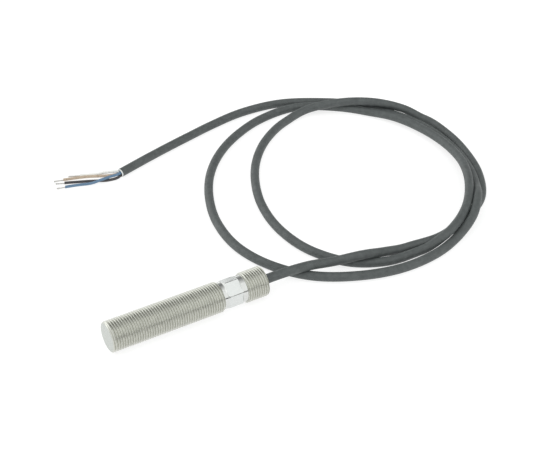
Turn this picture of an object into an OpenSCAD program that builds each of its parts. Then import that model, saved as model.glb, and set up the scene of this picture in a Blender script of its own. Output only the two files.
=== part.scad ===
// Full-metal inductive proximity sensor, M12 barrel with a coiled four-core lead.
// Millimetres. X runs along the barrel, sensing face at -X, lead at +X. Z is up.
// The barrel and the lead both lie on the plane z = 0.

/* [Barrel] */
// Outside diameter of the thread
thread_d = 12; // [12:0.5:13]
// Pitch of the thread
thread_pitch = 1; // [0.75:0.25:1]
// Length from the sensing face to the rear end
barrel_length = 65; // [65:1:80]
// Distance across opposite wrench flats
across_flats = 10; // [9.8:0.1:10.2]
// Radius of the bore that holds the electronics
bore_r = 3.9; // [3.85:0.05:3.95]
// Thickness of the metal sensing face
face_thickness = 0.6; // [0.4:0.1:0.8]

/* [Lead] */
// Outside diameter of the cable jacket
cable_d = 3.8; // [3.5:0.1:4]
// Diameter of one insulated core
core_d = 1.2; // [1:0.1:1.2]
// Diameter of one stripped, tinned conductor
conductor_d = 0.6; // [0.4:0.1:0.8]

/* [Hidden] */
$fn = 64;

crest_r = thread_d / 2;
axis_z = crest_r;
front_x = -barrel_length / 2;
thread_depth = 0.613 * thread_pitch;
root_r = crest_r - thread_depth;
land_r = crest_r - 0.65;

// Stations along the barrel, measured from the sensing face
front_bevel = 0.5;
first_groove = 1.1;
front_groove_count = floor((barrel_length - 20) / thread_pitch);
front_thread_end = first_groove + (front_groove_count - 0.5) * thread_pitch;
land_start = front_thread_end + 0.65;
rear_thread_start = barrel_length - 8.75;
rear_bevel = 0.4;
rear_groove_count = floor(8 / thread_pitch);
first_rear_groove = rear_thread_start + 0.75;

// Wrench zone: a hexagon standing proud of the land, with a turned taper at its front end
flat_count = 6;
flat_start = barrel_length - 17.2;
flat_end = barrel_length - 11;
corner_end = flat_end - 0.15;
flat_turn = 35;
taper_start = flat_start - 0.2;
taper_end = flat_start + 0.7;
corner_r = land_r + 0.35;

// Stack behind the sensing face
disc_thickness = 0.25;
core_front = face_thickness + disc_thickness;
pot_r = bore_r - 0.3;
pot_depth = 3.5;
groove_depth = 2.3;
post_r = 1.4;
groove_r = 3;
former_gap = 0.05;
flange = 0.3;
winding_front = core_front + former_gap + flange;
winding_back = core_front + groove_depth - former_gap - flange;
coil_lead_r = 0.12;
coil_lead_y = 2.5;
carrier_start = core_front + pot_depth;
carrier_length = 3;
carrier_end = carrier_start + carrier_length;

// Circuit board and what is on it
board_w = 6.8;
board_t = 0.8;
board_start = carrier_end - 1;
board_end = barrel_length - 13;
board_top = board_t / 2;
foil_t = 0.15;
foil_r = bore_r - 0.1;
potting_r = foil_r - foil_t - 0.05;
potting_end = barrel_length - 8.7;
lead_r = 0.4;
solder_t = 0.15;
lead_z = board_top + solder_t + lead_r;
pad_station = board_end - 1.6;
bend_station = board_end + 1.4;
pad_pitch = 1.3;
coil_lead_end = board_start + 1.8;
coil_lead_z = board_top + coil_lead_r + 0.02;

// Rear end
plug_start = barrel_length - 6;
plug_end = barrel_length - 0.2;
plug_r = bore_r + 0.7;
plug_gap = 0.02;
seal_station = barrel_length - 3.5;
seal_r = 0.3;
seal_ring_r = plug_r - seal_r - plug_gap;
grommet_r = 2.8;
grommet_start = plug_start + 1.2;
cable_bore_r = cable_d / 2 + 0.05;
ferrule_length = 1.6;
ferrule_start = plug_start - ferrule_length;
cable_start = barrel_length - 8.4;
lay_z = cable_d / 2;

// Route of the lead: x, y and how far its underside is above the floor
rear_x = barrel_length / 2;
route = concat(
    [
        [front_x + cable_start, 0, axis_z - lay_z],
        [rear_x, 0, axis_z - lay_z],
        [rear_x + 10, 0, axis_z - lay_z - 0.1]
    ],
    // first turn, from the barrel over the other strands and round under them
    [
        [53, -0.5, 3.5], [63.5, -2, 2.5], [75, -6, 4], [85.5, -6, 1.5], [95.5, -6.5, 0],
        [112, -7.5, 0], [126.5, -3, 0], [143, 6, 0], [153, 20, 0], [159, 37, 0],
        [161.5, 54, 0], [160, 70.5, 0], [155.5, 78.5, 2], [147, 86.5, 4], [136.5, 94.5, 4],
        [127, 99.5, 3], [117, 103.5, 1], [103, 100.5, 0], [87, 91, 0], [75, 78.5, 0],
        [66, 63.5, 0], [60, 47, 0], [58, 29, 0], [61.5, 11, 0]
    ],
    // second turn, the innermost, riding on the strand below it at the right
    [
        [72, -4, 0], [84, -10, 0], [100, -11, 0], [111, -10.5, 2.5], [128.5, -1.5, 4],
        [141.5, 13, 5], [148, 25, 4.5], [152, 36.5, 3], [153, 59.5, 1.5], [147.5, 78, 1],
        [140, 90, 0], [129.5, 100.5, 0], [114.5, 109, 0], [95.5, 108.5, 0], [79.5, 102.5, 0],
        [64.5, 92.5, 0], [52.5, 79.5, 0], [43.5, 63.5, 0], [38, 46, 0], [37.5, 26.5, 0],
        [42, 12.5, 0]
    ],
    // third turn and the free end
    [
        [53, -2.5, 0], [69, -12, 0], [85.5, -16.5, 0], [102.5, -16, 0], [117.5, -11.5, 0.5],
        [129, -6, 3], [138.5, 3, 4.5], [144.5, 11.5, 2.5], [150.5, 23, 1.5],
        [155.5, 38.5, 0.5], [157, 53.5, 0], [155, 68, 0], [148.5, 84, 0], [139, 98, 0],
        [125, 108.5, 0], [109.5, 116, 0], [90.5, 118, 0], [71.5, 115, 0], [59.5, 112, 0],
        [48, 109, 0], [34, 105, 0], [19.5, 100.5, 0]
    ]
);
cable_points = [for (p = route) [p.x, p.y, p.z + lay_z]];
cable_ring_step = 14;

// The stripped end: the cores leave the jacket two over two and fan out on the floor
jacket_end = cable_points[len(cable_points) - 1];
jacket_run = jacket_end - cable_points[len(cable_points) - 2];
jacket_angle = atan2(jacket_run.y, jacket_run.x);
filler_length = 0.6;
filler_r = cable_d / 2 - 0.1;
filler_wall = 0.3;
core_offset = core_d / 2 + 0.01;
core_lay = core_d / 2;
tip_lay = conductor_d / 2 + 0.1;
core_ring_step = 2.5;

white_route = [
    [17, 102.5, 2.3], [14, 104.5, 1.7], [11, 106, 1.1], [7.5, 108, core_lay], [4, 109.5, core_lay]
];
brown_route = [
    [16.5, 102, 1], [13.5, 103.5, 0.7], [10.5, 105, core_lay], [7.5, 106.5, core_lay],
    [3.5, 108, core_lay], [0, 109, core_lay], [-3.5, 110, core_lay]
];
blue_route = [
    [17.5, 99.5, 2.3], [15, 100, 2], [12.5, 100, 1.9], [9.5, 100, 1.8], [7, 100.5, 1.2],
    [3.5, 102, core_lay], [-1, 103.5, core_lay], [-5, 104.5, core_lay]
];
black_route = [
    [17.5, 99.2, 0.9], [15, 99.5, core_lay], [12, 100.2, core_lay], [9, 101.8, core_lay],
    [5.5, 103.5, core_lay], [2, 105, core_lay], [-1.5, 106.5, core_lay], [-4, 107.5, core_lay]
];
white_tip = [-0.5, 111.5, tip_lay];
brown_tip = [-7.5, 111, tip_lay];
blue_tip = [-8.5, 105.5, tip_lay];
black_tip = [-7.5, 109, tip_lay];

// ---- Curves and swept tubes ----

function unit(v) = v / norm(v);

// Slope of the route at point i, weighted by the lengths of the two spans that meet there
function free_slope(p, i) =
    let (last = len(p) - 1)
    i == 0 ? unit(p[1] - p[0]) :
    i == last ? unit(p[last] - p[last - 1]) :
    let (
        back = norm(p[i] - p[i - 1]),
        ahead = norm(p[i + 1] - p[i])
    )
    ((p[i + 1] - p[i]) / ahead * back + (p[i] - p[i - 1]) / back * ahead) / (back + ahead);

// The same, but level wherever the point lies on the floor, so the curve never dips below it
function slope(p, i, floor_z) =
    let (s = free_slope(p, i))
    p[i].z > floor_z ? s : [s.x, s.y, 0];

// Point on span i of the smooth curve, for t from 0 to 1
function on_span(p, i, t, floor_z) =
    let (
        span = norm(p[i + 1] - p[i]),
        t2 = t * t,
        t3 = t2 * t
    )
    (2 * t3 - 3 * t2 + 1) * p[i]
        + (t3 - 2 * t2 + t) * span * slope(p, i, floor_z)
        + (3 * t2 - 2 * t3) * p[i + 1]
        + (t3 - t2) * span * slope(p, i + 1, floor_z);

// The whole curve as points about one step apart
function curve(p, step, floor_z) = concat(
    [
        for (i = [0 : len(p) - 2])
            let (count = max(1, round(norm(p[i + 1] - p[i]) / step)))
            for (k = [0 : count - 1]) on_span(p, i, k / count, floor_z)
    ],
    [p[len(p) - 1]]
);

// One ring of a tube, square to the curve
function ring(c, i, r, sides) =
    let (
        last = len(c) - 1,
        run = unit(c[min(i + 1, last)] - c[max(i - 1, 0)]),
        side = unit(cross([0, 0, 1], run)),
        top = cross(run, side)
    )
    [
        for (k = [0 : sides - 1])
            let (a = (k + 0.5) * 360 / sides)
            c[i] + r * (cos(a) * side + sin(a) * top)
    ];

// A closed tube of the given radius along a curve
module tube(c, r, sides) {
    rings = len(c);
    points = [for (i = [0 : rings - 1]) each ring(c, i, r, sides)];
    walls = [
        for (i = [0 : rings - 2])
            for (k = [0 : sides - 1])
                let (
                    n = (k + 1) % sides,
                    a = i * sides,
                    b = a + sides
                )
                each [[a + k, b + n, a + n], [a + k, b + k, b + n]]
    ];
    first_cap = [for (k = [0 : sides - 1]) k];
    last_cap = [for (k = [sides - 1 : -1 : 0]) (rings - 1) * sides + k];
    polyhedron(points, concat([first_cap], walls, [last_cap]));
}

// A round rod from p to q
module rod(p, q, r) {
    run = q - p;
    flat_run = norm([run.x, run.y]);
    translate(p)
        rotate([0, atan2(flat_run, run.z), atan2(run.y, run.x)])
            cylinder(h = norm(run), r = r);
}

// ---- Placing things along the barrel ----

// Children are drawn round Z and stand along the barrel, from the given station
module along(station) {
    translate([front_x + station, 0, axis_z])
        rotate([0, 90, 0])
            children();
}

// A round disc or ring along the barrel
module barrel_ring(from, to, outer_r, inner_r = 0) {
    along(from)
        difference() {
            cylinder(h = to - from, r = outer_r);
            if (inner_r > 0)
                translate([0, 0, -1])
                    cylinder(h = to - from + 2, r = inner_r);
        }
}

// A block on the board: station of its front, centre in y, height of its underside, and size
module block(station, y, z, size) {
    translate([front_x + station, y - size.y / 2, axis_z + z])
        cube(size);
}

// ---- Housing ----

// Outline of one thread groove, as radius and station
function groove(station) =
    let (
        opening = 0.375 * thread_pitch,
        root = 0.085 * thread_pitch
    )
    [
        [crest_r, station - opening],
        [root_r, station - root],
        [root_r, station + root],
        [crest_r, station + opening]
    ];

function grooves(first, count) =
    [for (k = [0 : count - 1]) each groove(first + k * thread_pitch)];

module barrel_outside() {
    outline = concat(
        [[0, 0], [crest_r - front_bevel, 0], [crest_r, front_bevel]],
        grooves(first_groove, front_groove_count),
        [
            [crest_r, front_thread_end],
            [land_r, land_start],
            [land_r, taper_start],
            [corner_r, taper_end],
            [corner_r, corner_end],
            [land_r, corner_end],
            [land_r, rear_thread_start - 0.3],
            [crest_r, rear_thread_start]
        ],
        grooves(first_rear_groove, rear_groove_count),
        [[crest_r, barrel_length - rear_bevel], [crest_r - rear_bevel, barrel_length], [0, barrel_length]]
    );
    along(0)
        rotate_extrude()
            polygon(outline);
}

// What the milling cutter takes off for one flat, on the +X side of the drawing
module flat_cut() {
    reach = 2 * crest_r;
    translate([across_flats / 2, -reach / 2, flat_start])
        cube([reach, reach, flat_end - flat_start]);
}

module housing() {
    color([0.74, 0.74, 0.70])
        difference() {
            barrel_outside();
            for (turn = [0 : flat_count - 1])
                along(0)
                    rotate([0, 0, 360 / flat_count * turn + flat_turn])
                        flat_cut();
            barrel_ring(face_thickness, barrel_length + 1, bore_r);
            barrel_ring(plug_start, barrel_length + 1, plug_r);
        }
}

// ---- Coil system behind the face ----

module insulating_disc() {
    color([0.85, 0.65, 0.25])
        barrel_ring(face_thickness, core_front, bore_r - 0.2);
}

// Two straight rods where the coil leads run, from the winding to the board
module lead_runs(r) {
    for (side = [-1, 1])
        rod(
            [front_x + winding_back, side * coil_lead_y, axis_z + coil_lead_z],
            [front_x + coil_lead_end, side * coil_lead_y, axis_z + coil_lead_z],
            r
        );
}

module ferrite_core() {
    color([0.22, 0.22, 0.23])
        difference() {
            barrel_ring(core_front, core_front + pot_depth, pot_r);
            barrel_ring(core_front - 1, core_front + groove_depth, groove_r, post_r);
            lead_runs(0.3);
        }
}

module coil_former() {
    inner = post_r + former_gap;
    outer = groove_r - former_gap;
    front = core_front + former_gap;
    back = core_front + groove_depth - former_gap;
    color([0.93, 0.92, 0.86])
        difference() {
            barrel_ring(front, back, outer, inner);
            barrel_ring(front + flange, back - flange, outer + 1, inner + flange);
            lead_runs(0.3);
        }
}

module coil_winding() {
    inner = post_r + former_gap + flange;
    color([0.72, 0.38, 0.16])
        barrel_ring(winding_front, winding_back, groove_r - former_gap - 0.15, inner);
}

module coil_leads() {
    color([0.72, 0.38, 0.16])
        lead_runs(coil_lead_r);
}

module coil_carrier() {
    color([0.16, 0.17, 0.19])
        difference() {
            barrel_ring(carrier_start, carrier_end, pot_r);
            block(board_start - 0.05, 0, -board_t / 2 - 0.05, [2, board_w + 0.1, board_t + 0.1]);
            lead_runs(0.3);
        }
}

// ---- Electronics ----

module circuit_board() {
    color([0.05, 0.32, 0.16])
        block(board_start, 0, -board_t / 2, [board_end - board_start, board_w, board_t]);
}

module sensor_chip() {
    color([0.08, 0.08, 0.09]) {
        block(13, 0, board_top + 0.1, [5, 4, 1.2]);
        for (side = [-1, 1])
            for (k = [0 : 3])
                block(13.4 + 1.2 * k, side * 2.25, board_top, [0.4, 0.7, 0.3]);
    }
}

module output_driver() {
    color([0.09, 0.09, 0.10]) {
        block(36, 0, board_top + 0.1, [3, 3, 1.1]);
        for (side = [-1, 1])
            for (k = [0 : 2])
                block(36.25 + 1.0 * k, side * 1.75, board_top, [0.4, 0.6, 0.3]);
    }
}

module capacitors() {
    color([0.72, 0.58, 0.38]) {
        block(21, 1.6, board_top, [2, 1.25, 1]);
        block(21, -1.6, board_top, [2, 1.25, 1]);
        block(31, 0, board_top, [3.2, 2.5, 1.5]);
        block(42, 0, board_top, [3.2, 2.5, 1.5]);
    }
}

module resistors() {
    color([0.12, 0.12, 0.13])
        for (k = [0 : 4])
            for (side = [-1, 0, 1])
                block(25 + 1.1 * k, side * 2.2, board_top, [0.6, 1.2, 0.4]);
}

// Pad number k of four, counted across the board
function pad_y(k) = (k - 1.5) * pad_pitch;

module solder_joints() {
    color([0.78, 0.79, 0.80]) {
        for (k = [0 : 3])
            translate([front_x + pad_station, pad_y(k), axis_z + board_top])
                cylinder(h = solder_t, r = 0.6);
        for (side = [-1, 1])
            block(coil_lead_end, side * coil_lead_y, board_top, [0.6, 0.6, 0.3]);
    }
}

module indicator_led() {
    color([0.95, 0.62, 0.10]) {
        block(47.2, 2.6, board_top, [1.6, 0.9, 0.5]);
        translate([front_x + 48, 2.6, axis_z + board_top + 0.5])
            cylinder(h = 0.4, r = 0.4);
    }
}

module shield_foil() {
    color([0.80, 0.62, 0.42])
        barrel_ring(carrier_start, board_end - 2, foil_r, foil_r - foil_t);
}

// Cast resin round the board, with room for the parts that stand on it
module potting() {
    clear = 0.05;
    tall = 2.1;
    color([0.10, 0.12, 0.15])
        difference() {
            barrel_ring(carrier_end, potting_end, potting_r);
            block(
                carrier_end - 1, 0, -board_t / 2 - clear,
                [bend_station + 1 - carrier_end + 1, board_w + 2 * clear, board_t + tall]
            );
            barrel_ring(bend_station, potting_end + 1, potting_r - 0.6);
        }
}

// Core number k of four in the cable: two over two round the centre line
function core_side(k) = k < 2 ? 1 : -1;
function core_level(k) = k % 2 == 0 ? 1 : -1;

module inner_lead(k, pad) {
    start = [front_x + pad_station - 0.6, pad_y(pad), axis_z + lead_z];
    bend = [front_x + bend_station, pad_y(pad), axis_z + lead_z];
    end = [
        front_x + cable_start,
        core_side(k) * core_offset,
        axis_z + core_level(k) * core_offset
    ];
    tube(curve([start, bend, end], 1, 0), lead_r, 8);
}

module lead_white() {
    color([0.92, 0.92, 0.90])
        inner_lead(0, 3);
}

module lead_brown() {
    color([0.45, 0.30, 0.20])
        inner_lead(1, 2);
}

module lead_blue() {
    color([0.25, 0.42, 0.62])
        inner_lead(2, 0);
}

module lead_black() {
    color([0.12, 0.12, 0.13])
        inner_lead(3, 1);
}

// ---- Rear end ----

module rear_plug() {
    color([0.13, 0.14, 0.15])
        difference() {
            barrel_ring(plug_start, plug_end, plug_r - plug_gap, cable_bore_r);
            barrel_ring(grommet_start, plug_end + 1, grommet_r);
            barrel_ring(
                seal_station - seal_r, seal_station + seal_r,
                plug_r + 1, seal_ring_r - seal_r
            );
        }
}

module plug_seal() {
    color([0.10, 0.10, 0.10])
        along(seal_station)
            rotate_extrude()
                translate([seal_ring_r, 0])
                    circle(seal_r);
}

module crimp_ferrule() {
    color([0.74, 0.74, 0.70])
        barrel_ring(ferrule_start, ferrule_start + ferrule_length, cable_d / 2 + 0.5, cable_bore_r);
}

module cable_grommet() {
    color([0.09, 0.10, 0.10])
        barrel_ring(grommet_start, plug_end, grommet_r - plug_gap, cable_bore_r);
}

// ---- Lead ----

module cable_jacket() {
    color([0.20, 0.22, 0.22])
        tube(curve(cable_points, cable_ring_step, lay_z), cable_d / 2, 8);
}

// Places children at the stripped end, with Z along the cable's own direction
module at_jacket_end() {
    translate(jacket_end)
        rotate([0, 90, jacket_angle])
            children();
}

module cable_filler() {
    color([0.86, 0.87, 0.86])
        at_jacket_end()
            difference() {
                cylinder(h = filler_length, r = filler_r);
                translate([0, 0, -1])
                    cylinder(h = filler_length + 2, r = filler_r - filler_wall);
            }
}

// Where core k leaves the jacket
function core_exit(k) = jacket_end
    + core_side(k) * core_offset * [sin(jacket_angle), -cos(jacket_angle), 0]
    + [0, 0, core_level(k) * core_offset];

module outer_core(k, points) {
    tube(curve(concat([core_exit(k)], points), core_ring_step, core_lay), core_d / 2, 8);
}

module conductor(points, tip) {
    last = points[len(points) - 1];
    level = [last.x, last.y, tip.z];
    tube([level, (level + tip) / 2, tip], conductor_d / 2, 8);
}

module core_white() {
    color([0.93, 0.93, 0.91])
        outer_core(0, white_route);
}

module core_brown() {
    color([0.62, 0.48, 0.36])
        outer_core(1, brown_route);
}

module core_blue() {
    color([0.35, 0.47, 0.62])
        outer_core(2, blue_route);
}

module core_black() {
    color([0.14, 0.14, 0.15])
        outer_core(3, black_route);
}

module conductor_white() {
    color([0.78, 0.78, 0.77])
        conductor(white_route, white_tip);
}

module conductor_brown() {
    color([0.78, 0.78, 0.77])
        conductor(brown_route, brown_tip);
}

module conductor_blue() {
    color([0.78, 0.78, 0.77])
        conductor(blue_route, blue_tip);
}

module conductor_black() {
    color([0.78, 0.78, 0.77])
        conductor(black_route, black_tip);
}

housing();
insulating_disc();
ferrite_core();
coil_former();
coil_winding();
coil_leads();
coil_carrier();
circuit_board();
sensor_chip();
output_driver();
capacitors();
resistors();
solder_joints();
indicator_led();
shield_foil();
potting();
rear_plug();
plug_seal();
crimp_ferrule();
cable_grommet();
lead_brown();
lead_white();
lead_blue();
lead_black();
cable_jacket();
cable_filler();
core_brown();
core_white();
core_blue();
core_black();
conductor_brown();
conductor_white();
conductor_blue();
conductor_black();
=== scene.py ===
"""M12 full-metal inductive proximity sensor with a coiled four-core lead, on a white studio floor.

The barrel lies along X. The part's own lengths are written in millimetres and turned into metres
with MM. The camera, the floor and the lamp are placed in metres.
"""
import math

import bmesh
import bpy
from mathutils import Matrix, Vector


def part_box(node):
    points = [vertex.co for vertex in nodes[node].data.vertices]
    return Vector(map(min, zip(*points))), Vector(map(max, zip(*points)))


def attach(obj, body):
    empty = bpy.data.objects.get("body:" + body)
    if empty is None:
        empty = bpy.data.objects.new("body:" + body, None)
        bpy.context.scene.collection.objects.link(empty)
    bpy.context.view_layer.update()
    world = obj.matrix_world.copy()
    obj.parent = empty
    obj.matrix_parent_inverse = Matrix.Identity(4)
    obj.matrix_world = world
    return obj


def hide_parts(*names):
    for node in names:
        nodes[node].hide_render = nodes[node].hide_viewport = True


MM = 0.001
TAU = 2 * math.pi
UP = Vector((0, 0, 1))

# Points closer than this are one point
SAME_PLACE = 1e-8

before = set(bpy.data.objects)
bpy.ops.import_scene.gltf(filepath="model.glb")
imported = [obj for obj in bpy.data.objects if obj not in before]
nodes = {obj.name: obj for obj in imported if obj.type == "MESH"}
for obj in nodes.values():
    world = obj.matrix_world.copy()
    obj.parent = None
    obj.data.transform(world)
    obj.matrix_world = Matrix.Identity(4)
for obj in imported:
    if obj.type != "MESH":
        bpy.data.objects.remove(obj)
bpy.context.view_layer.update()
scene = bpy.context.scene


# ---------------------------------------------------------------- camera

CAMERA_PLACE = (-0.15727, -0.32879, 0.31016)
CAMERA_PITCH, CAMERA_TURN = 53.803, -30.437
CAMERA_LENS, CAMERA_SENSOR = 84.63, 36
NEAREST, FARTHEST = 0.01, 20

camera = bpy.data.objects.new("Camera", bpy.data.cameras.new("Camera"))
scene.collection.objects.link(camera)
camera.location = CAMERA_PLACE
camera.rotation_euler = (math.radians(CAMERA_PITCH), 0, math.radians(CAMERA_TURN))
camera.data.lens = CAMERA_LENS
camera.data.sensor_width = CAMERA_SENSOR
camera.data.clip_start = NEAREST
camera.data.clip_end = FARTHEST
scene.camera = camera


# ---------------------------------------------------------------- curves and tubes

# Bevel at the cut end of a tube, as a share of its radius
END_BEVEL = 0.06
# A route point this little above its lowest height still lies on the floor
ON_FLOOR = 1e-7


def slopes(points, floor_z):
    """Direction of the route at each point, level wherever the point lies on the floor."""
    spans = [(b - a).length for a, b in zip(points, points[1:])]
    runs = [(b - a) / h for a, b, h in zip(points, points[1:], spans)]
    out = [runs[0]]
    for i in range(1, len(points) - 1):
        back, ahead = spans[i - 1], spans[i]
        out.append((runs[i] * back + runs[i - 1] * ahead) / (back + ahead))
    out.append(runs[-1])
    for p, s in zip(points, out):
        if p.z <= floor_z + ON_FLOOR:
            s.z = 0
    return out, spans


def sample(points, floor_z, step):
    """The smooth curve through the points, as points about one step apart."""
    slope, spans = slopes(points, floor_z)
    out = []
    for i, h in enumerate(spans):
        count = max(1, round(h / step))
        for k in range(count):
            t = k / count
            t2, t3 = t * t, t * t * t
            out.append(
                (2 * t3 - 3 * t2 + 1) * points[i]
                + (t3 - 2 * t2 + t) * h * slope[i]
                + (3 * t2 - 2 * t3) * points[i + 1]
                + (t3 - t2) * h * slope[i + 1]
            )
    out.append(points[-1].copy())
    return out


def heading(path, i):
    """Direction of a path at one of its points."""
    return (path[min(i + 1, len(path) - 1)] - path[max(i - 1, 0)]).normalized()


def side_and_up(run):
    """The level direction and the upward one that are square to a run."""
    side = UP.cross(run).normalized()
    return side, run.cross(side)


def mesh_object(name, bm, sharp=30):
    """Finishes a bmesh as an object, smooth except at edges sharper than the given angle."""
    bmesh.ops.remove_doubles(bm, verts=bm.verts, dist=SAME_PLACE)
    bmesh.ops.recalc_face_normals(bm, faces=bm.faces)
    data = bpy.data.meshes.new(name)
    bm.to_mesh(data)
    bm.free()
    for f in data.polygons:
        f.use_smooth = True
    data.set_sharp_from_angle(angle=math.radians(sharp))
    obj = bpy.data.objects.new(name, data)
    scene.collection.objects.link(obj)
    return obj


def add_ring(bm, centre, run, radius, sides):
    """A ring of points square to a run."""
    side, up = side_and_up(run)
    return [
        bm.verts.new(centre + radius * (side * math.cos(a) + up * math.sin(a)))
        for a in (TAU * k / sides for k in range(sides))
    ]


def join_rings(bm, rings):
    """Skins a row of rings and closes its two ends."""
    for a, b in zip(rings, rings[1:]):
        for k in range(len(a)):
            n = (k + 1) % len(a)
            bm.faces.new((a[k], a[n], b[n], b[k]))
    bm.faces.new(list(reversed(rings[0])))
    bm.faces.new(rings[-1])


def tube_object(name, path, radius, sides, recess, wall):
    """A round tube along a path. Its far end is cut square, and hollow to the depth of the recess."""
    bm = bmesh.new()
    rings = [add_ring(bm, p, heading(path, i), radius, sides) for i, p in enumerate(path[:-1])]
    run = (path[-1] - path[-2]).normalized()
    bevel = radius * END_BEVEL
    inside = radius - wall
    mouth = [(bevel, radius), (0, radius - bevel), (0, inside + bevel), (bevel, inside), (recess, inside)]
    rings += [add_ring(bm, path[-1] - run * back, run, r, sides) for back, r in mouth]
    join_rings(bm, rings)
    return mesh_object(name, bm, sharp=40)


# ---------------------------------------------------------------- lead

CABLE_R = 1.9 * MM
CABLE_WALL = 0.42 * MM
CABLE_RECESS = 1.2 * MM
CABLE_SIDES = 28
CABLE_STEP = 1.1 * MM

CORE_R = 0.6 * MM
CORE_WALL = 0.28 * MM
CORE_RECESS = 0.4 * MM
CORE_SIDES = 18
CORE_STEP = 0.35 * MM
CORE_OFFSET = 0.61 * MM

STRAND_R = 0.1 * MM
STRAND_SIDES = 7
STRAND_STEP = 0.15 * MM
STRAND_LAY = 5.5 * MM
STRAND_SPREAD = 0.4
OUTER_STRANDS = 6
# One strand of the blue conductor is bent out of the rope
STRAY = {("blue", 0): Vector((0.4, -1.3, 0)) * MM}

# The route in millimetres: x, y and how far the underside of the lead is above the floor
ROUTE = [
    (24.1, 0, 4.1), (32.5, 0, 4.1), (42.5, 0, 4.0),
    (53, -0.5, 3.5), (63.5, -2, 2.5), (75, -6, 4), (85.5, -6, 1.5), (95.5, -6.5, 0),
    (112, -7.5, 0), (126.5, -3, 0), (143, 6, 0), (153, 20, 0), (159, 37, 0),
    (161.5, 54, 0), (160, 70.5, 0), (155.5, 78.5, 2), (147, 86.5, 4), (136.5, 94.5, 4),
    (127, 99.5, 3), (117, 103.5, 1), (103, 100.5, 0), (87, 91, 0), (75, 78.5, 0),
    (66, 63.5, 0), (60, 47, 0), (58, 29, 0), (61.5, 11, 0),
    (72, -4, 0), (84, -10, 0), (100, -11, 0), (111, -10.5, 2.5), (128.5, -1.5, 4),
    (141.5, 13, 5), (148, 25, 4.5), (152, 36.5, 3), (153, 59.5, 1.5), (147.5, 78, 1),
    (140, 90, 0), (129.5, 100.5, 0), (114.5, 109, 0), (95.5, 108.5, 0), (79.5, 102.5, 0),
    (64.5, 92.5, 0), (52.5, 79.5, 0), (43.5, 63.5, 0), (38, 46, 0), (37.5, 26.5, 0),
    (42, 12.5, 0),
    (53, -2.5, 0), (69, -12, 0), (85.5, -16.5, 0), (102.5, -16, 0), (117.5, -11.5, 0.5),
    (129, -6, 3), (138.5, 3, 4.5), (144.5, 11.5, 2.5), (150.5, 23, 1.5),
    (155.5, 38.5, 0.5), (157, 53.5, 0), (155, 68, 0), (148.5, 84, 0), (139, 98, 0),
    (125, 108.5, 0), (109.5, 116, 0), (90.5, 118, 0), (71.5, 115, 0), (59.5, 112, 0),
    (48, 109, 0), (34, 105, 0), (19.5, 100.5, 0),
]
cable_points = [Vector((x, y, z + CABLE_R / MM)) * MM for x, y, z in ROUTE]
cable_path = sample(cable_points, CABLE_R, CABLE_STEP)
jacket = tube_object("jacket", cable_path, CABLE_R, CABLE_SIDES, CABLE_RECESS, CABLE_WALL)

cut_end = cable_points[-1]
cut_run = (cut_end - cable_points[-2]).normalized()
cut_side = Vector((cut_run.y, -cut_run.x, 0))

# The stripped end, in millimetres: the core's side and level in the jacket, where the middle of the
# core goes from there, and the tip of its conductor. The cores leave the jacket two over two.
CORES = {
    "white": (1, 1, [
        (17, 102.5, 2.3), (14, 104.5, 1.7), (11, 106, 1.1), (7.5, 108, 0.6), (4, 109.5, 0.6),
    ], (-0.5, 111.5, 0.4)),
    "brown": (1, -1, [
        (16.5, 102, 1), (13.5, 103.5, 0.7), (10.5, 105, 0.6), (7.5, 106.5, 0.6),
        (3.5, 108, 0.6), (0, 109, 0.6), (-3.5, 110, 0.6),
    ], (-7.5, 111, 0.4)),
    "blue": (-1, 1, [
        (17.5, 99.5, 2.3), (15, 100, 2), (12.5, 100, 1.9), (9.5, 100, 1.8), (7, 100.5, 1.2),
        (3.5, 102, 0.6), (-1, 103.5, 0.6), (-5, 104.5, 0.6),
    ], (-8.5, 105.5, 0.4)),
    "black": (-1, -1, [
        (17.5, 99.2, 0.9), (15, 99.5, 0.6), (12, 100.2, 0.6), (9, 101.8, 0.6),
        (5.5, 103.5, 0.6), (2, 105, 0.6), (-1.5, 106.5, 0.6), (-4, 107.5, 0.6),
    ], (-7.5, 109, 0.4)),
}


def make_core(colour, side, level, route):
    """One insulated core, from the cut end of the jacket to where its insulation is stripped."""
    start = cut_end + cut_side * (side * CORE_OFFSET) + UP * (level * CORE_OFFSET)
    path = sample([start] + [Vector(p) * MM for p in route], CORE_R, CORE_STEP)
    name = "core_" + colour + "_insulation"
    core = tube_object(name, path, CORE_R, CORE_SIDES, CORE_RECESS, CORE_WALL)
    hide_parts("core_" + colour)
    return core


def add_strand(bm, path, twist=0.0, offset=0.0, phase=0.0, stray=Vector()):
    """One strand of a rope. It winds round the path, and near the tip it spreads and may stray."""
    rings = []
    travelled = 0.0
    for i, p in enumerate(path):
        if i:
            travelled += (p - path[i - 1]).length
        run = heading(path, i)
        side, up = side_and_up(run)
        a = phase + travelled * twist
        loose = (i / (len(path) - 1)) ** 3
        out = offset * (1 + STRAND_SPREAD * loose)
        centre = p + side * (math.cos(a) * out) + up * (math.sin(a) * out) + stray * loose
        rings.append(add_ring(bm, centre, run, STRAND_R, STRAND_SIDES))
    join_rings(bm, rings)


def make_conductor(colour, start, tip):
    """Seven tinned strands, one straight and six laid round it, a little loose at the tip."""
    level_start = Vector((start.x, start.y, tip.z))
    path = sample([level_start, (level_start + tip) / 2, tip], 0, STRAND_STEP)
    bm = bmesh.new()
    add_strand(bm, path)
    for k in range(OUTER_STRANDS):
        add_strand(
            bm, path, twist=TAU / STRAND_LAY, offset=2 * STRAND_R,
            phase=TAU * k / OUTER_STRANDS, stray=STRAY.get((colour, k), Vector()),
        )
    wire = mesh_object("conductor_" + colour + "_strands", bm)
    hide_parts("conductor_" + colour)
    return wire


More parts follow.
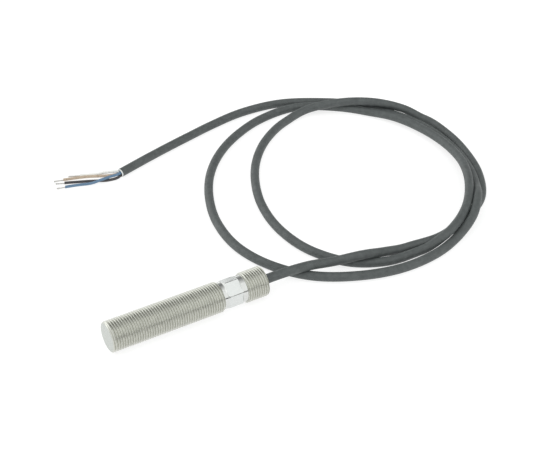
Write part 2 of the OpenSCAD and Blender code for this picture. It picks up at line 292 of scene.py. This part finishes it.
# The wrap's section: radius, and reach past the cut end of the jacket
WRAP_SECTION = [
    (1.42, -0.4), (1.5, 0.42), (1.56, 0.55), (1.68, 0.6), (1.76, 0.52), (1.8, 0.4), (1.8, -0.4),
]
WRAP_SIDES = 40


def ragged(a):
    """How far the wrap's edge is torn back or left standing at an angle round it."""
    return 0.05 * math.sin(3 * a + 0.7) + 0.03 * math.sin(7 * a)


def make_wrap():
    """The wrap round the cores, just proud of the cut end of the jacket."""
    bm = bmesh.new()
    grid = []
    for k in range(WRAP_SIDES):
        a = TAU * k / WRAP_SIDES
        column = []
        for r, along in WRAP_SECTION:
            reach = along + (ragged(a) if along > 0 else 0)
            outward = cut_side * (r * MM * math.cos(a)) + UP * (r * MM * math.sin(a))
            column.append(bm.verts.new(cut_end + cut_run * (reach * MM) + outward))
        grid.append(column)
    for k, column in enumerate(grid):
        following = grid[(k + 1) % WRAP_SIDES]
        for j in range(len(column)):
            m = (j + 1) % len(column)
            bm.faces.new((column[j], following[j], following[m], column[m]))
    wrap = mesh_object("cable_wrap", bm, sharp=60)
    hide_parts("cable_filler")
    return wrap


cores = {}
strands = {}
on_cable = []
for colour, (side, level, route, tip) in CORES.items():
    cores[colour] = make_core(colour, side, level, route)
    strands[colour] = make_conductor(colour, Vector(route[-1]) * MM, Vector(tip) * MM)
    on_cable += [cores[colour], strands[colour]]
wrap = make_wrap()
on_cable.append(wrap)

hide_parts("cable_jacket")
for piece in [jacket, *on_cable]:
    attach(piece, "root")


# ---------------------------------------------------------------- housing

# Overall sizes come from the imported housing. Places along the barrel are millimetres behind the face.
housing_lo, housing_hi = (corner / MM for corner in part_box("housing"))
FRONT_X = round(housing_lo.x, 2)
LENGTH = round(housing_hi.x - housing_lo.x, 2)
AXIS_Z = round((housing_lo.z + housing_hi.z) / 2, 2)
CREST_R = round((housing_hi.y - housing_lo.y) / 2, 2)
ROOT_R = 5.42
LAND_R = 5.35
PITCH = 1.0

# Sensing face: radii of its rings, and its rounded edge as a place and a radius
FACE_RINGS = (0.35, 1.0, 1.8, 2.6, 3.4, 4.2, 4.8, 5.2, 5.4)
FACE_EDGE, FACE_EDGE_R = 0.015, 5.47

# Front thread: its bevel, first groove and run-out, and where its cut deepens from nothing
FRONT_START, FRONT_END = 0.05, 46.25
FRONT_BEVEL, FRONT_BEVEL_R = 0.5, 5.5
FRONT_GROOVE, FRONT_RUN_OUT = 1.1, 45.6
DEEPENS_FROM, DEEPENS_OVER = 0.15, 0.7

# Hexagon: its flats' distance from the axis, the taper before it, and how far its first flat is turned
FLAT_D, FLAT_START, FLAT_END = 5.0, 47.8, 53.95
TAPER_START, TAPER_END, CORNER_R = 47.6, 48.5, 5.7
FLAT_TURN = 5.0

# Rear thread and the rounded rear edge
REAR_START = 56.09
REAR_RUN_IN, REAR_SLOPE, REAR_GROOVE = 56.25, 2.2, 57.0
REAR_ROUND = 0.4

# Rear face, the mouth and seat of the plug, and the bore up to the back of the sensing face
REAR_FACE_R, MOUTH_R, SEAT_R, BORE_R = 5.3, 4.75, 4.6, 3.9
MOUTH_DEPTH, SEAT_MIDDLE, SEAT_START, BORE_MIDDLE, BORE_END = 0.1, 62, 59, 30, 0.6
BORE_END_RINGS = (2, 0.5)

# Places of the rings between the threads
FRONT_LAND = (FRONT_END, 46.5, 46.75, 47.0, 47.3, TAPER_START, FLAT_START)
HEXAGON = (FLAT_START, 47.9, 48.0, 48.1, 48.2, 48.3, 48.4, TAPER_END, 50.3, 52.1, FLAT_END)
REAR_LAND = (FLAT_END, 54.3, 54.7, 55.1, 55.5, 55.8, REAR_START)

# Columns round the barrel: a sector for each side of the hexagon, half of it on the flat and half on
# the corner. Evenly spaced, the outer and inner columns of a flat are at these angles from its middle.
SIDES, SIDE_TURN = 6, 60
HALF_SECTOR = 8
SECTOR = 2 * HALF_SECTOR
SEGMENTS = SIDES * SECTOR
EVEN_HALF, EVEN_INNER = 15.0, 7.5
# Thread points this close to its two ends are joined to its end rings
JOINED = 0.01

# One turn of the thread from groove centre to groove centre: fraction of the pitch, and radius
GROOVE = [(-0.085, ROOT_R + 0.01), (0.0, ROOT_R), (0.085, ROOT_R + 0.01)]
SHOULDER = [(0.30, 5.81), (0.345, 5.881), (0.38, 5.931), (0.41, 5.966), (0.435, 5.986), (0.46, 5.997)]
THREAD = GROOVE + SHOULDER + [(1 - share, radius) for share, radius in reversed(SHOULDER)]

THREADED, TURNED, MILLED, FACED = range(4)


def front_limit(x):
    """Largest radius the front thread may have at x: front bevel, and run-out to the land."""
    if x < FRONT_BEVEL:
        return FRONT_BEVEL_R + x
    if x > FRONT_RUN_OUT:
        return max(CREST_R - (x - FRONT_RUN_OUT), LAND_R)
    return CREST_R


def rear_limit(x):
    """Largest radius the rear thread may have at x: run-in from the land, and the rounded edge."""
    over = x - (LENGTH - REAR_ROUND)
    if x < REAR_RUN_IN:
        return max(CREST_R - (REAR_RUN_IN - x) * REAR_SLOPE, LAND_R)
    if over > 0:
        return CREST_R - REAR_ROUND + math.sqrt(max(REAR_ROUND ** 2 - over ** 2, 0))
    return CREST_R


def thread_radius(turns):
    """Radius of the thread at a number of turns from the middle of a groove."""
    first = THREAD[0][0]
    share = (turns - first) % 1.0 + first
    table = THREAD + [(first + 1, THREAD[0][1])]
    for (s0, r0), (s1, r1) in zip(table, table[1:]):
        if share <= s1:
            return r0 + (r1 - r0) * (share - s0) / (s1 - s0)
    return table[-1][1]


def outline(x):
    """Radius of the turned outline between the two threads."""
    if x <= TAPER_START or x > FLAT_END:
        return LAND_R
    return LAND_R + (CORNER_R - LAND_R) * min((x - TAPER_START) / (TAPER_END - TAPER_START), 1)


def half_flat(radius):
    """Half the angle that a flat takes from a circle of this radius, in degrees."""
    return math.degrees(math.acos(FLAT_D / radius))


def around(half=EVEN_HALF, inner=EVEN_INNER):
    """Angles round the barrel: in each sector, columns spread over a flat and then over its corner."""
    flat = [-half, -(half + inner) / 2, -inner, -inner / 2, 0, inner / 2, inner, (half + inner) / 2]
    gap = SIDE_TURN - 2 * half
    corner = [half + gap * k / HALF_SECTOR for k in range(HALF_SECTOR)]
    return [math.radians(FLAT_TURN + SIDE_TURN * q + a) for q in range(SIDES) for a in flat + corner]


def gathered(share, half):
    """Angles round the barrel, from evenly spaced at 0 to drawn together at the flats at 1."""
    inner = half_flat(LAND_R)
    return around(EVEN_HALF + (half - EVEN_HALF) * share, EVEN_INNER + (inner - EVEN_INNER) * share)


def point(x, radius, angle):
    """A point on the barrel. The angle is measured from +Y towards +Z."""
    return Vector((FRONT_X + x, radius * math.cos(angle), AXIS_Z + radius * math.sin(angle))) * MM


class Shell:
    """Collects rings of points and joins each to the next."""

    def __init__(self):
        self.bm = bmesh.new()
        self.first = None
        self.last = None

    def face(self, corners, material):
        """A face of the corners, where at least three of them differ."""
        corners = list(dict.fromkeys(corners))
        if len(corners) > 2:
            self.bm.faces.new(corners).material_index = material

    def ring(self, points, material, flat_material=None):
        """Adds a ring. Columns on the flats may take their own material."""
        ring = [self.bm.verts.new(p) for p in points]
        if self.last is None:
            self.first = ring
        else:
            for k in range(SEGMENTS):
                m = (k + 1) % SEGMENTS
                milled = flat_material is not None and k % SECTOR < HALF_SECTOR
                self.face(
                    (self.last[k], self.last[m], ring[m], ring[k]),
                    flat_material if milled else material,
                )
        self.last = ring
        return ring

    def round_ring(self, x, radius, material):
        """Adds a round ring with evenly spaced columns."""
        self.ring([point(x, radius, a) for a in around()], material)

    def hexagon_ring(self, x):
        """Adds a ring of the hexagon. Its flats are as wide as the turned outline lets them be."""
        outer = outline(x)
        points = []
        for k, a in enumerate(around(half_flat(outer), half_flat(LAND_R))):
            middle = math.radians(FLAT_TURN + SIDE_TURN * (k // SECTOR))
            on_flat = k % SECTOR <= HALF_SECTOR
            radius = min(FLAT_D / math.cos(a - middle), outer) if on_flat else outer
            points.append(point(x, radius, a))
        self.ring(points, TURNED, MILLED)

    def thread(self, first_groove, low, high, limit):
        """A right-handed helical thread from low to high, its radius kept below the limit."""
        angles = around()
        leads = [(a - angles[0]) / TAU for a in angles]
        per_turn = len(THREAD)

        def surface(x, k):
            depth = CREST_R - thread_radius((x - first_groove) / PITCH - leads[k])
            share = min(max((x - DEEPENS_FROM) / DEEPENS_OVER, 0), 1)
            return point(x, min(CREST_R - depth * share, limit(x)), angles[k])

        front = self.ring([surface(low, k) for k in range(SEGMENTS)], THREADED)
        back = [self.bm.verts.new(surface(high, k)) for k in range(SEGMENTS)]
        made = {}

        def corner(row, k):
            if k == SEGMENTS:
                row, k = row + per_turn, 0
            share = THREAD[row % per_turn][0] + row // per_turn
            x = first_groove + (share + leads[k]) * PITCH
            if x <= low + JOINED:
                return front[k]
            if x >= high - JOINED:
                return back[k]
            if (row, k) not in made:
                made[row, k] = self.bm.verts.new(surface(x, k))
            return made[row, k]

        first = (math.floor((low - first_groove) / PITCH) - 2) * per_turn
        last = (math.ceil((high - first_groove) / PITCH) + 1) * per_turn
        for row in range(first, last):
            for k in range(SEGMENTS):
                self.face(
                    (corner(row, k), corner(row, k + 1), corner(row + 1, k + 1), corner(row + 1, k)),
                    THREADED,
                )
        self.last = back


def make_barrel():
    """The steel housing, from the middle of the sensing face round to the bottom of the bore."""
    shell = Shell()
    for radius in FACE_RINGS:
        shell.round_ring(0, radius, FACED)
    shell.round_ring(FACE_EDGE, FACE_EDGE_R, FACED)
    shell.thread(FRONT_GROOVE, FRONT_START, FRONT_END, front_limit)

    for x in FRONT_LAND:
        angles = gathered((x - FRONT_END) / (FLAT_START - FRONT_END), half_flat(outline(FLAT_START)))
        shell.ring([point(x, outline(x), a) for a in angles], TURNED)
    for x in HEXAGON:
        shell.hexagon_ring(x)
    for x in REAR_LAND:
        angles = gathered((REAR_START - x) / (REAR_START - FLAT_END), half_flat(CORNER_R))
        shell.ring([point(x, LAND_R, a) for a in angles], TURNED)
    shell.thread(REAR_GROOVE, REAR_START, LENGTH, rear_limit)

    for x, radius in (
        (LENGTH, REAR_FACE_R), (LENGTH, MOUTH_R), (LENGTH - MOUTH_DEPTH, SEAT_R),
        (SEAT_MIDDLE, SEAT_R), (SEAT_START, SEAT_R), (SEAT_START, BORE_R),
        (BORE_MIDDLE, BORE_R), (BORE_END, BORE_R),
    ):
        shell.round_ring(x, radius, TURNED)
    for radius in BORE_END_RINGS:
        shell.round_ring(BORE_END, radius, TURNED)
    shell.face(shell.last, TURNED)
    shell.face(reversed(shell.first), FACED)
    return mesh_object("barrel", shell.bm, sharp=24)


barrel = make_barrel()
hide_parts("housing")
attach(barrel, "root")


# ---------------------------------------------------------------- node trees

class Tree:
    """Short names for building a node tree. A value may be a number, a colour or another socket."""

    def __init__(self, owner):
        owner.use_nodes = True
        self.tree = owner.node_tree

    def add(self, kind, **settings):
        node = self.tree.nodes.new(kind)
        for key, value in settings.items():
            setattr(node, key, value)
        return node

    def find(self, kind):
        return next(n for n in self.tree.nodes if n.type == kind)

    def feed(self, socket, value):
        if isinstance(value, bpy.types.NodeSocket):
            self.tree.links.new(value, socket)
        else:
            socket.default_value = value

    def put(self, node, **values):
        for key, value in values.items():
            self.feed(node.inputs[key.replace("_", " ")], value)

    def math(self, operation, *values):
        node = self.add("ShaderNodeMath", operation=operation)
        for socket, value in zip(node.inputs, values):
            self.feed(socket, value)
        return node.outputs[0]

    def mix(self, factor, a, b):
        node = self.add("ShaderNodeMix", data_type="RGBA")
        factor_in, a_in, b_in = node.inputs[0], node.inputs[6], node.inputs[7]
        for socket, value in ((factor_in, factor), (a_in, a), (b_in, b)):
            self.feed(socket, value)
        return node.outputs[2]

    def split(self, vector):
        node = self.add("ShaderNodeSeparateXYZ")
        self.feed(node.inputs[0], vector)
        return node.outputs

    def ramp(self, value, stops):
        """A smooth grey ramp: pairs of position and brightness."""
        node = self.add("ShaderNodeValToRGB")
        node.color_ramp.interpolation = "EASE"
        elements = node.color_ramp.elements
        elements.remove(elements[1])
        for k, (position, level) in enumerate(stops):
            stop = elements[0] if k == 0 else elements.new(position)
            stop.position = position
            stop.color = (level * 0.99, level, level * 0.99, 1)
        self.feed(node.inputs[0], value)
        return node.outputs[0]


# ---------------------------------------------------------------- materials

# Noise mostly stays between these, so they are what a tone or a gloss is spread over
NOISE_LOW, NOISE_HIGH = 0.3, 0.7
MILLED_STRETCH = (0.06, 1, 1)


class Surface(Tree):
    """A material on one Principled shader, its patterns laid out in the object's own place."""

    def __init__(self, name):
        self.material = bpy.data.materials.new(name)
        super().__init__(self.material)
        self.shader = self.find("BSDF_PRINCIPLED")
        self.place = self.add("ShaderNodeTexCoord").outputs["Object"]

    def noise(self, scale, detail, roughness, stretch=(1, 1, 1)):
        mapping = self.add("ShaderNodeMapping")
        self.put(mapping, Vector=self.place, Scale=stretch)
        node = self.add("ShaderNodeTexNoise")
        vector = mapping.outputs["Vector"]
        self.put(node, Vector=vector, Scale=scale, Detail=detail, Roughness=roughness)
        return node.outputs["Fac"]

    def lines(self, value, scale):
        """Fine uneven lines across the direction in which a value grows."""
        node = self.add("ShaderNodeTexNoise", noise_dimensions="1D")
        self.put(node, W=self.math("MULTIPLY", value, scale), Scale=1.0, Detail=2.0)
        return node.outputs["Fac"]

    def spread(self, value, low, high):
        node = self.add("ShaderNodeMapRange")
        self.put(node, Value=value, From_Min=NOISE_LOW, From_Max=NOISE_HIGH, To_Min=low, To_Max=high)
        return node.outputs["Result"]

    def tone(self, noise, dark, light):
        colour = self.mix(self.spread(noise, 0, 1), (*dark, 1), (*light, 1))
        self.put(self.shader, Base_Color=colour)

    def gloss(self, noise, low, high):
        self.put(self.shader, Roughness=self.spread(noise, low, high))

    def bump(self, height, strength, distance):
        node = self.add("ShaderNodeBump")
        self.put(node, Height=height, Strength=strength, Distance=distance)
        self.put(self.shader, Normal=node.outputs["Normal"])

    def from_axis(self):
        """Distance from the barrel's axis."""
        x, y, z = self.split(self.place)
        height = self.math("SUBTRACT", z, AXIS_Z * MM)
        squares = [self.math("MULTIPLY", v, v) for v in (y, height)]
        return self.math("SQRT", self.math("ADD", *squares))


def steel(name, dark, light, rough, mark_scale, mark_depth, cut="turned"):
    """Stainless steel with fine tool marks: turned round the barrel, faced in rings, or milled along."""
    m = Surface(name)
    m.tone(m.noise(900, 3, 0.6), dark, light)
    m.gloss(m.noise(400, 3, 0.5), *rough)
    m.put(m.shader, Metallic=1.0)
    if cut == "turned":
        marks = m.lines(m.split(m.place)[0], mark_scale)
    elif cut == "faced":
        marks = m.lines(m.from_axis(), mark_scale)
    else:
        marks = m.noise(mark_scale, 3, 0.6, MILLED_STRETCH)
    m.bump(marks, 0.35, mark_depth)
    return m.material


def plain(name, dark, light, rough, grain=900, depth=0.00001, metal=0.0):
    """A moulded, extruded, cast or drawn surface: two close tones, uneven gloss and a fine grain."""
    m = Surface(name)
    m.tone(m.noise(grain, 4, 0.55), dark, light)
    m.gloss(m.noise(grain * 0.4, 2, 0.5), *rough)
    m.put(m.shader, Metallic=metal)
    m.bump(m.noise(grain * 3, 3, 0.6), 0.4, depth)
    return m.material


def paint(obj, *materials):
    """Gives an object its materials. A new mesh has none to clear, and clearing resets its faces."""
    if obj.data.materials:
        obj.data.materials.clear()
    for m in materials:
        obj.data.materials.append(m)


# In the order of THREADED, TURNED, MILLED and FACED
paint(
    barrel,
    steel("steel_thread", (0.54, 0.545, 0.50), (0.63, 0.635, 0.585), (0.24, 0.36), 9000, 0.000004),
    steel("steel_turned", (0.63, 0.64, 0.625), (0.68, 0.69, 0.675), (0.08, 0.14), 14000, 0.000004),
    steel(
        "steel_milled", (0.67, 0.69, 0.68), (0.71, 0.73, 0.72), (0.26, 0.36), 5000, 0.000002, "milled",
    ),
    steel(
        "steel_face", (0.48, 0.505, 0.475), (0.53, 0.555, 0.525), (0.18, 0.28), 9000, 0.000003, "faced",
    ),
)

rubber = plain(
    "jacket_rubber", (0.062, 0.070, 0.070), (0.090, 0.101, 0.101), (0.48, 0.64), 500, 0.00002,
)
paint(jacket, rubber)

paint(wrap, plain("wrap_film", (0.62, 0.65, 0.64), (0.80, 0.82, 0.81), (0.4, 0.6), 1500, 0.00001))

INSULATION = {
    "brown": ((0.45, 0.36, 0.27), (0.57, 0.46, 0.35)),
    "white": ((0.80, 0.80, 0.77), (0.90, 0.90, 0.88)),
    "blue": ((0.085, 0.165, 0.27), (0.13, 0.225, 0.34)),
    "black": ((0.034, 0.032, 0.035), (0.062, 0.058, 0.062)),
}
tinned = plain(
    "tinned_copper", (0.66, 0.65, 0.63), (0.80, 0.79, 0.77), (0.25, 0.4), 3000, 0.000003, metal=1.0,
)
for colour, (dark, light) in INSULATION.items():
    skin = plain("insulation_" + colour, dark, light, (0.32, 0.48), 1200, 0.000006)
    paint(cores[colour], skin)
    paint(strands[colour], tinned)
    paint(nodes["lead_" + colour], skin)

# CAD nodes that stay as they are: dark and light tone, roughness, and metal or not
CARRIED = {
    "insulating_disc": ((0.62, 0.36, 0.08), (0.78, 0.50, 0.14), (0.15, 0.25), 0.0),
    "ferrite_core": ((0.07, 0.07, 0.08), (0.12, 0.12, 0.13), (0.6, 0.8), 0.0),
    "coil_former": ((0.80, 0.79, 0.72), (0.88, 0.87, 0.82), (0.4, 0.55), 0.0),
    "coil_winding": ((0.50, 0.20, 0.08), (0.70, 0.32, 0.14), (0.2, 0.35), 1.0),
    "coil_leads": ((0.50, 0.20, 0.08), (0.70, 0.32, 0.14), (0.2, 0.35), 1.0),
    "coil_carrier": ((0.05, 0.05, 0.06), (0.08, 0.08, 0.09), (0.4, 0.6), 0.0),
    "circuit_board": ((0.02, 0.16, 0.07), (0.04, 0.24, 0.11), (0.2, 0.35), 0.0),
    "sensor_chip": ((0.02, 0.02, 0.02), (0.04, 0.04, 0.04), (0.5, 0.7), 0.0),
    "output_driver": ((0.02, 0.02, 0.02), (0.04, 0.04, 0.04), (0.5, 0.7), 0.0),
    "capacitors": ((0.44, 0.33, 0.20), (0.56, 0.43, 0.28), (0.35, 0.5), 0.0),
    "resistors": ((0.03, 0.03, 0.04), (0.05, 0.05, 0.06), (0.2, 0.4), 0.0),
    "solder_joints": ((0.62, 0.63, 0.64), (0.78, 0.79, 0.80), (0.12, 0.25), 1.0),
    "indicator_led": ((0.85, 0.45, 0.06), (0.95, 0.58, 0.12), (0.1, 0.2), 0.0),
    "shield_foil": ((0.62, 0.42, 0.26), (0.76, 0.56, 0.38), (0.2, 0.35), 1.0),
    "potting": ((0.04, 0.05, 0.07), (0.07, 0.08, 0.10), (0.15, 0.3), 0.0),
    "rear_plug": ((0.045, 0.05, 0.05), (0.075, 0.08, 0.08), (0.4, 0.55), 0.0),
    "plug_seal": ((0.02, 0.02, 0.02), (0.04, 0.04, 0.04), (0.5, 0.7), 0.0),
    "crimp_ferrule": ((0.60, 0.60, 0.57), (0.74, 0.74, 0.71), (0.2, 0.35), 1.0),
    "cable_grommet": ((0.030, 0.036, 0.036), (0.055, 0.062, 0.062), (0.5, 0.65), 0.0),
}
for name, (dark, light, rough, metal) in CARRIED.items():
    paint(nodes[name], plain(name + "_finish", dark, light, rough, metal=metal))


# ---------------------------------------------------------------- floor

FLOOR_SIZE = 6.0
FLOOR_PLACE = (0.05, 0.05, -0.00002)
FLOOR_GREY = 0.35
FLOOR_GLOW = 0.76

bm = bmesh.new()
bmesh.ops.create_grid(bm, x_segments=1, y_segments=1, size=FLOOR_SIZE)
floor = mesh_object("floor", bm)
floor.location = FLOOR_PLACE

white = Surface("floor_white")
white.put(
    white.shader, Roughness=0.9, Base_Color=(FLOOR_GREY, FLOOR_GREY, FLOOR_GREY, 1),
    Specular_IOR_Level=0.0, Emission_Color=(1, 1, 1, 1), Emission_Strength=FLOOR_GLOW,
)
paint(floor, white.material)


# ---------------------------------------------------------------- light

# Brightness against the angle in degrees over the object, from the horizon behind it to the one in
# front. RIGHT is the studio that the barrel's rear faces, LEFT the one that its sensing end faces.
RIGHT = [
    (0, 2.1), (6, 1.25), (16, 0.66), (28, 0.46), (44, 0.25), (54, 0.32), (66, 0.48), (76, 0.61),
    (86, 0.78), (96, 0.92), (106, 1.04), (125, 1.17), (169, 1.18), (173, 0.16), (179, 0.06),
]
LEFT = [
    (0, 1.35), (10, 1.8), (18, 2.1), (35, 1.7), (60, 1.2), (90, 1.0), (130, 1.05), (165, 0.9),
    (172, 0.5), (179, 0.4),
]
# Straight out along the sensing face's own direction the room is dimmer
END_ON = [(0, 0.85), (180, 0.85)]
STRENGTH = 2.2

# Where each part of the studio gives way to the next, along X as 0 to 1
END_ON_TO_LEFT = [(0.015, 0.0), (0.07, 1.0)]
LEFT_TO_RIGHT = [(0.38, 0.0), (0.62, 1.0)]

LAMP_PLACE = (-0.2, -0.5, 1.5)
LAMP_AIM = (0.05, 0.05, 0)
LAMP_WIDTH, LAMP_DEPTH, LAMP_ENERGY = 1.6, 1.2, 2


def make_studio():
    """A bright studio: white overhead and towards the camera, a darker wall behind the object."""
    world = bpy.data.worlds.new("studio")
    scene.world = world
    tree = Tree(world)
    x, y, z = tree.split(tree.add("ShaderNodeTexCoord").outputs["Generated"])
    over = tree.math("DIVIDE", tree.math("ARCTAN2", z, y), math.pi)
    along = tree.math("MULTIPLY_ADD", x, 0.5, 0.5)

    def sky(stops):
        return tree.ramp(over, [(degrees / 180, level / STRENGTH) for degrees, level in stops])

    left = tree.mix(tree.ramp(along, END_ON_TO_LEFT), sky(END_ON), sky(LEFT))
    whole = tree.mix(tree.ramp(along, LEFT_TO_RIGHT), left, sky(RIGHT))
    tree.put(tree.find("BACKGROUND"), Color=whole, Strength=STRENGTH)


def make_lamp():
    """One wide soft lamp above and in front."""
    lamp = bpy.data.objects.new("softbox", bpy.data.lights.new("softbox", "AREA"))
    scene.collection.objects.link(lamp)
    lamp.data.shape = "RECTANGLE"
    lamp.data.size = LAMP_WIDTH
    lamp.data.size_y = LAMP_DEPTH
    lamp.data.energy = LAMP_ENERGY
    lamp.location = LAMP_PLACE
    lamp.rotation_euler = (Vector(LAMP_AIM) - lamp.location).to_track_quat("-Z", "Y").to_euler()


make_studio()
make_lamp()
scene.view_settings.view_transform = "Standard"
scene.view_settings.look = "None"
